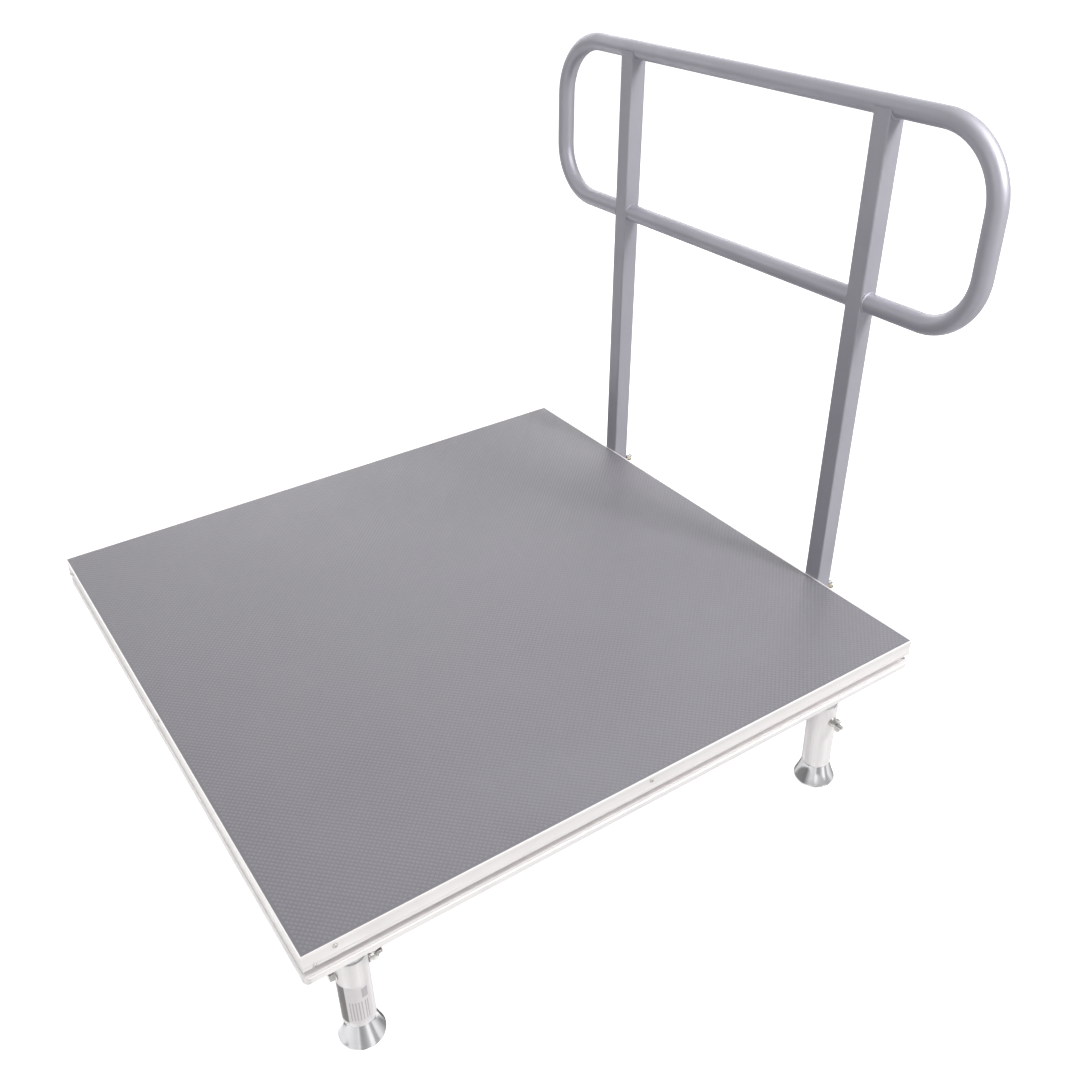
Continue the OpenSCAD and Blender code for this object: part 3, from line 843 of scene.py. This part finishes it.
def build_label():
    points, faces, marks = label()
    mesh = mesh_of("leg_label", (points, faces), tidy=False)
    spot = middle("leg_tube_front_right")
    obj = piece("leg_label", mesh, Matrix.Translation((spot.x, spot.y, 0)), "leg_front_right",
                looks["label"])
    obj.data.materials.append(looks["label_mark"])
    obj.data.materials.append(looks["label_line"])
    for face, mark in zip(obj.data.polygons, marks):
        face.material_index = mark


def build_legs():
    nut = wing_nut_mesh()
    sleeve = leg_sleeve()
    for corner in CORNERS:
        def part(name, source, at, body, look, node, sharp_from=32):
            piece(f"{name}_{corner}", source, at, f"{body}_{corner}", looks[look],
                  [f"{node}_{corner}"], sharp_from)

        place = leg_frame(corner)
        at_bolt = place @ shift(z=BOLT_Z * MM)
        seat = at_bolt @ shift(x=LEG_R * MM)
        on_washer = seat @ shift(x=WASHER_T * MM)
        part("leg_sleeve", sleeve.copy(), place, "leg", "tube", "leg_tube")
        part("clamp_screw", clamp_screw(), at_bolt, "leg", "zinc", "clamp_bolt")
        part("flat_washer", flat_washer(), seat, "washer", "zinc", "clamp_washer")
        part("winged_nut", nut.copy(), on_washer, "nut", "zinc", "wing_nut", 50)
        part("bell", bell(), place, "foot", "chrome", "foot_bell", 40)
        part("spindle", levelling_spindle(), place, "foot", "zinc", "foot_spindle", 60)
        part("floor_pad", floor_pad(), place, "pad", "rubber", "foot_pad")
    build_label()


# ---- guardrail ----

ARC_STEPS = 20


def arc(centre_x, centre_z, radius, start, end):
    """Points and outward normals of an arc in the XZ plane, angles in degrees from +X to +Z."""
    made = []
    for k in range(ARC_STEPS + 1):
        angle = math.radians(start + (end - start) * k / ARC_STEPS)
        out = Vector((math.cos(angle), 0, math.sin(angle)))
        made.append((Vector((centre_x, LOW_RAIL.y, centre_z)) + out * radius, out))
    return made


def hoop():
    """One bent tube from the outer side of one post, over the top, to the other."""
    stub = POST_X + POST / 2
    down = Vector((0, 0, -1))
    line = [(Vector((stub, LOW_RAIL.y, LOW_H)), down)]
    line += arc(HOOP_X - BEND_LOW, LOW_H + BEND_LOW, BEND_LOW, -90, 0)
    line += arc(HOOP_X - BEND_TOP, TOP_H - BEND_TOP, BEND_TOP, 0, 90)
    line += arc(-HOOP_X + BEND_TOP, TOP_H - BEND_TOP, BEND_TOP, 90, 180)
    line += arc(-HOOP_X + BEND_LOW, LOW_H + BEND_LOW, BEND_LOW, 180, 270)
    line += [(Vector((-stub, LOW_RAIL.y, LOW_H)), down)]
    path, normals = zip(*line)
    return pipe(path, normals, Vector((0, 1, 0)), TUBE_R, TUBE_WALL)


def mid_rail():
    reach = POST_X - POST / 2
    path = [Vector((x, LOW_RAIL.y, LOW_H)) for x in (-reach, reach)]
    return pipe(path, [Vector((0, 0, 1))] * 2, Vector((0, 1, 0)), TUBE_R, TUBE_WALL)


def post_ring(inset, round_by):
    """Section of a square post round its own middle, as (x, y)."""
    reach = POST / 2 - inset
    corners = [(-reach, -reach), (reach, -reach), (reach, reach), (-reach, reach)]
    return eased(corners, round_by, steps=5)


def saddle(y):
    """Height of a post's top edge under the top rail, at y from the rail's centre line."""
    under = TOP_H - math.sqrt(max(TUBE_R ** 2 - y ** 2, 0))
    return min(under, TOP_H - 3)


def stepped(outline, step):
    """Outline with points no more than a step apart."""
    made = []
    for k, spot in enumerate(outline):
        here, after = Vector(spot), Vector(outline[(k + 1) % len(outline)])
        parts = max(1, math.ceil((after - here).length / step))
        made += [tuple(here.lerp(after, n / parts)) for n in range(parts)]
    return made


def post():
    """Square post with rounded corners, its top cut to saddle the top rail."""
    foot = -POST_BELOW_BOLT + 2
    outer = stepped(post_ring(0, 3.0), 2.0)
    shrink = (POST - 2 * POST_WALL) / POST
    inner = [(x * shrink, y * shrink) for x, y in outer]
    low_outer = [(x, y, foot) for x, y in outer]
    low_inner = [(x, y, foot) for x, y in inner]
    high_outer = [(x, y, saddle(y)) for x, y in outer]
    high_inner = [(x, y, saddle(y)) for x, y in inner]
    return hollow_loft([low_outer, high_outer], [low_inner, high_inner])


def post_cap():
    """Plastic plug for the lower end of a post, its flange level with the tube's faces."""
    low = -POST_BELOW_BOLT
    skirt = POST_WALL + 0.1
    loops = [[(x, y, z) for x, y in post_ring(inset, round_by)] for inset, round_by, z in
             ((0.7, 3, low), (0.1, 3, low + 0.6), (0.1, 3, low + 1.95), (skirt, 1.5, low + 1.95),
              (skirt, 1.5, low + 3.6), (skirt + 0.5, 1.5, low + 4.2))]
    return loft(loops)


def rail_welds():
    """Weld beads: round the low rails at both sides of each post, and under the top rail."""
    round_tube = 13.9                   # radius of a bead's centre line, just under the tube's skin
    beads = []
    for h, hand in enumerate((-1, 1)):
        for s, side in enumerate((-1, 1)):
            x = hand * POST_X + side * (POST / 2 + 0.5)
            circle = [Vector((x, LOW_RAIL.y + round_tube * math.cos(a), LOW_H + round_tube * math.sin(a)))
                      for a in (math.tau * k / 150 for k in range(150))]
            beads.append(weld(circle, lambda spot: Vector((1, 0, 0)), 1.9, 2 * h + s))
        edge = stepped(post_ring(0.1, 3.0), 0.7)
        path = [Vector((hand * POST_X + u, LOW_RAIL.y + v, saddle(v) - 0.4)) for u, v in edge]
        beads.append(weld(path, lambda spot: Vector((0, 0, 1)), 1.8, 10 + h))
    points, faces = joined(*beads)      # the beads are ground flush with the posts' two faces
    return [Vector((p.x, min(max(p.y, -0.3), POST), p.z)) for p in points], faces


def hammer_bolts():
    """Both T-bolts: hammer head in the groove chamber, threaded shank out through the post."""
    made = []
    head_x, head_y, head_z = 6, 4.3, 7.25
    thread_from, tip = POST - 3, POST + 23
    for hand in (-1, 1):
        block = eased([(-head_x, -head_z), (head_x, -head_z), (head_x, head_z), (-head_x, head_z)], 1.2)
        start = -GROOVE_LIP - 0.05
        loops = [[(x * k, y, z * k) for x, z in block] for y, k in
                 ((start - head_y, 0.92), (start - head_y + 0.6, 1), (start - 0.3, 1), (start, 0.97))]
        rod = threaded_rod(BOLT_R, BOLT_PITCH, start, thread_from, tip)
        here = shift(x=hand * POST_X)
        made += [moved(loft(loops), here), moved(rod, here @ ALONG_Y)]
    return joined(*made)


def build_guardrail():
    foot = Matrix.Translation(GUARD.translation)
    leaning = GUARD.to_3x3().to_4x4()   # the lean is in the meshes, so that their boxes are tight

    def rail_piece(name, source, look, nodes):
        mesh = source if isinstance(source, bpy.types.Mesh) else mesh_of(name, source)
        mesh.transform(leaning)
        return piece(name, mesh, foot, "guardrail", looks[look], nodes)

    rail_piece("hoop_tube", hoop(), "paint", ["guard_hoop"])
    rail_piece("low_rail_tube", mid_rail(), "paint", ["guard_mid_rail"])
    rail_piece("weld_beads", rail_welds(), "paint", [])
    hole = lathe([(0, -25), (BOLT_R + BORE_GAP, -25), (BOLT_R + BORE_GAP, 25), (0, 25)], 32)
    caps = []
    for hand, name in zip((-1, 1), HANDS):
        here = shift(x=hand * POST_X, y=POST / 2)
        tube = cut(mesh_of("square_post", moved(post(), here)), moved(hole, here @ ALONG_Y))
        rail_piece(f"square_post_{name}", tube, "paint", [f"guard_post_{name}"])
        caps.append(moved(post_cap(), here))
    rail_piece("post_caps", joined(*caps), "plug", ["post_plugs"])
    rail_piece("hammer_bolts", hammer_bolts(), "zinc", ["t_bolts"])
    nut = wing_nut_mesh()
    outwards = GUARD.to_3x3() @ Vector((0, 1, 0))
    wings = GUARD.to_3x3() @ Vector((1, 0, 0))
    for name in HANDS:
        seat = frame_at(JOINTS[f"guard_nut_{name}_turn"]["pos_m"], outwards, wings)
        piece(f"rail_washer_{name}", flat_washer(), seat, f"washer_guard_{name}",
              looks["brassy"], [f"guard_washer_{name}"])
        piece(f"rail_winged_nut_{name}", nut.copy(), seat @ shift(x=WASHER_T * MM),
              f"nut_guard_{name}", looks["brassy"], [f"guard_nut_{name}"], sharp_from=50)


# ---- CAD nodes that stay ----


def repaint(node, look, ease_mm=0):
    """A CAD node keeps its shape and gets a node material, with eased edges if asked."""
    obj = frame["nodes"][node]
    obj.data.materials.clear()
    obj.data.materials.append(looks[look])
    if ease_mm:
        joint = obj.modifiers.new("join", "WELD")
        joint.merge_threshold = 0.005 * MM
        ease = obj.modifiers.new("ease", "BEVEL")
        ease.width = ease_mm * MM
        ease.segments = 2
        ease.limit_method = "ANGLE"
        ease.angle_limit = math.radians(40)


def repaint_nodes():
    repaint("cross_brace", "rail", 0.6)
    repaint("panel_screws", "steel")
    repaint("corner_screws", "steel")
    for corner in CORNERS:
        repaint(f"corner_block_{corner}", "cast", 0.8)
        repaint(f"spigot_{corner}", "cast")
        repaint(f"foot_insert_{corner}", "cast")


# ---- stage ----


def build_floor():
    """Plain pale floor, seen only from above so that views from below show the underside."""
    reach, steps = 40, 8                # half its width in metres, and the squares along that
    spots = [(x * reach / steps, y * reach / steps, 0) for y in range(-steps, steps + 1)
             for x in range(-steps, steps + 1)]
    row = 2 * steps + 1
    faces = [(j * row + i, j * row + i + 1, (j + 1) * row + i + 1, (j + 1) * row + i)
             for j in range(2 * steps) for i in range(2 * steps)]
    mesh = bpy.data.meshes.new("floor")
    mesh.from_pydata(spots, [], faces)
    floor = linked("floor", mesh)
    paint = Paint("floor_look", (FLOOR_GREY,) * 3, 0.0, 0.65)
    paint.mixed(paint.noise(1.2, 4), 0.4, 0.7, 0.15, (FLOOR_GREY * 0.96,) * 3)
    paint.bumped(paint.noise(220, 2), 0.05, 0.2)
    rays = paint.add("ShaderNodeLightPath").outputs
    glow = paint.ranged(rays["Is Camera Ray"], 0, 1, 0, FLOOR_GLOW)
    from_below = paint.add("ShaderNodeNewGeometry").outputs["Backfacing"]
    mirrored = paint.ranged(rays["Is Glossy Ray"], 0, 1, 0, FLOOR_OPEN)
    clear = paint.add("ShaderNodeBsdfTransparent").outputs[0]
    mix = paint.add("ShaderNodeMixShader", None, {0: paint.maths("MAXIMUM", from_below, mirrored),
                                                  1: paint.shader.outputs[0], 2: clear})
    paint.feed(paint.tree.nodes["Material Output"].inputs["Surface"], mix.outputs[0])
    mesh.materials.append(paint.done(emission_color=(1, 1, 1, 1), emission_strength=glow))


WIDE_PANELS = 4                         # two waves round the set, whose sum spaces the panels
WIDE_PHASE = 0.6
NARROW_PANELS = 7
NARROW_PHASE = 1.4
NARROW_WEIGHT = 0.7                     # next to the wide wave's 1
PANEL_LIGHT = 0.55
LOW_LIGHT = 2.00                        # the same panels below level, as the floor mirrors them
GAP_SHARE = 0.08                        # light of the gaps as a share of the panels'
CEILING_LIGHT = 0.95
CEILING_EDGE = (0.72, 0.88)             # sines of elevation between which walls turn to ceiling
LOW_EDGE = (-0.70, -0.58)               # and between which the room below level starts
LEVEL_EDGE = (-0.02, 0.02)              # and ends
# Below level, where the bell feet mirror it, the room is laid out stop by stop instead:
# (degrees round from +X, share of LOW_LIGHT), just below level and further down
ROOM_LEVEL = ((-180, 0.4), (-150, 0.2), (-95, 0.14), (-66, 0.66), (-46, 0.62), (-34, 1.0), (-20, 0.6),
              (-5, 0.45), (20, 0.36), (75, 0.34), (180, 0.4))
ROOM_BELOW = ((-180, 0.6), (-134, 0.76), (-90, 0.82), (-50, 0.64), (-38, 0.76), (-31, 0.34), (-22, 0.28),
              (-10, 0.34), (0, 0.5), (11, 1.0), (21, 0.94), (27, 0.42), (40, 0.36), (47, 0.79),
              (58, 0.82), (95, 0.26), (125, 0.1), (160, 0.1), (180, 0.6))
BACKDROP = 1.0                          # the surroundings as the camera sees them
FLOOR_GLOW = 0.95                       # floor's own light as the camera sees it
FLOOR_GREY = 0.56                       # floor's albedo
FLOOR_OPEN = 0.8                        # how clear a reflection shows the panels through the floor


def area_light(name, spot, aim, size, watts):
    """White rectangular light at spot, turned to aim. Places and sizes are in metres."""
    data = bpy.data.lights.new(name, "AREA")
    data.shape = "RECTANGLE"
    data.size, data.size_y = size
    data.energy = watts
    light = linked(name, data)
    light.location = spot
    light.rotation_euler = (Vector(aim) - Vector(spot)).to_track_quat("-Z", "Y").to_euler()


def build_lights():
    """Bright soft studio: pale panels all round, large area lights and one small hard lamp."""
    world = bpy.data.worlds.new("studio")
    world.use_nodes = True
    bpy.context.scene.world = world
    nodes = Nodes(world.node_tree)
    maths = nodes.maths

    def smooth(value, low, high, to_low, to_high):
        return nodes.ranged(value, low, high, to_low, to_high, "SMOOTHSTEP")

    def blend(share, first, second):
        return maths("MULTIPLY_ADD", share, maths("SUBTRACT", second, first), first)

    def ramp(position, stops):
        node = nodes.add("ShaderNodeValToRGB", None, {0: position})
        points = node.color_ramp.elements       # it starts with one at each end
        for degrees, share in stops[1:-1]:
            points.new(degrees / 360 + 0.5)
        for point, (degrees, share) in zip(points, stops):
            point.color = (share, share, share, 1)
        return node.outputs[0]

    # Pale panels stand round the set with darker gaps between them, under a pale ceiling
    direction = nodes.add("ShaderNodeTexCoord").outputs["Generated"]
    x, y, height = nodes.add("ShaderNodeSeparateXYZ", None, {0: direction}).outputs
    turn = maths("ARCTAN2", y, x)
    wide = maths("SINE", maths("MULTIPLY_ADD", turn, WIDE_PANELS, WIDE_PHASE))
    narrow = maths("SINE", maths("MULTIPLY_ADD", turn, NARROW_PANELS, NARROW_PHASE))
    panels = smooth(maths("MULTIPLY_ADD", narrow, NARROW_WEIGHT, wide), -0.55, 0.05, GAP_SHARE, 1.0)
    # The two layouts meet at a height that changes with the direction
    edge = maths("ADD", smooth(turn, math.radians(-95), math.radians(-60), -0.36, -0.19),
                 smooth(turn, math.radians(20), math.radians(42), 0.0, -0.11))
    under = smooth(maths("SUBTRACT", height, edge), -0.03, 0.03, 1.0, 0.0)
    position = maths("MULTIPLY_ADD", turn, 1 / math.tau, 0.5)
    stripes = blend(under, ramp(position, ROOM_LEVEL), ramp(position, ROOM_BELOW))
    band = maths("MULTIPLY", smooth(height, *LOW_EDGE, 0.0, 1.0), smooth(height, *LEVEL_EDGE, 1.0, 0.0))
    level = smooth(height, -0.08, 0.06, LOW_LIGHT, PANEL_LIGHT)
    walls = maths("MULTIPLY", blend(band, panels, stripes), level)
    ceiling = smooth(height, *CEILING_EDGE, 0.0, 1.0)
    light = maths("ADD", maths("MULTIPLY", walls, maths("SUBTRACT", 1.0, ceiling)),
                  maths("MULTIPLY", ceiling, CEILING_LIGHT))
    camera_ray = nodes.add("ShaderNodeLightPath").outputs["Is Camera Ray"]
    background = world.node_tree.nodes["Background"].inputs
    nodes.feed(background["Strength"], smooth(camera_ray, 0, 1, light, BACKDROP))
    nodes.feed(background["Color"], (1, 1, 1, 1))
    aim = (0, 0, 0.4)
    area_light("lamp", (1.58, 0.95, 1.74), (0.2, 0.5, 0.8), (0.35, 0.35), 25)
    area_light("sky", (1.0, 1.0, 2.3), (0.2, 0.5, 0.8), (1.2, 1.2), 16)
    area_light("back", (-3.0, 1.7, 2.0), aim, (4.6, 1.4), 76)
    area_light("left", (-2.6, -2.4, 2.2), aim, (2.6, 1.6), 22)
    area_light("front", (1.0, -3.2, 1.8), aim, (2.6, 1.6), 19)


def build_camera():
    """The photograph's angle, height, slight tilt and field of view, from a pinhole fit."""
    azimuth, elevation, tilt = math.radians(57.287), math.radians(32.518), math.radians(-1.770)
    distance = 2.00838
    aim = DECK @ Vector((-0.06717, 0.20047, 0))
    back = Vector((math.sin(azimuth) * math.cos(elevation), -math.cos(azimuth) * math.cos(elevation),
                   math.sin(elevation)))
    level = Vector((0, 0, 1)).cross(back).normalized()
    up = back.cross(level)
    right = level * math.cos(tilt) + up * math.sin(tilt)
    data = bpy.data.cameras.new("camera")
    data.lens = 38.413
    data.sensor_width = 36
    data.clip_end = 100
    camera = linked("camera", data)
    turn = Matrix((right, back.cross(right), back)).transposed()
    camera.matrix_world = Matrix.Translation(aim + back * distance) @ turn.to_4x4()
    bpy.context.scene.camera = camera


build_frame()
build_board()
build_legs()
build_guardrail()
repaint_nodes()
build_floor()
build_lights()
build_camera()
bpy.context.scene.view_settings.view_transform = "Standard"

bpy.context.view_layer.update()
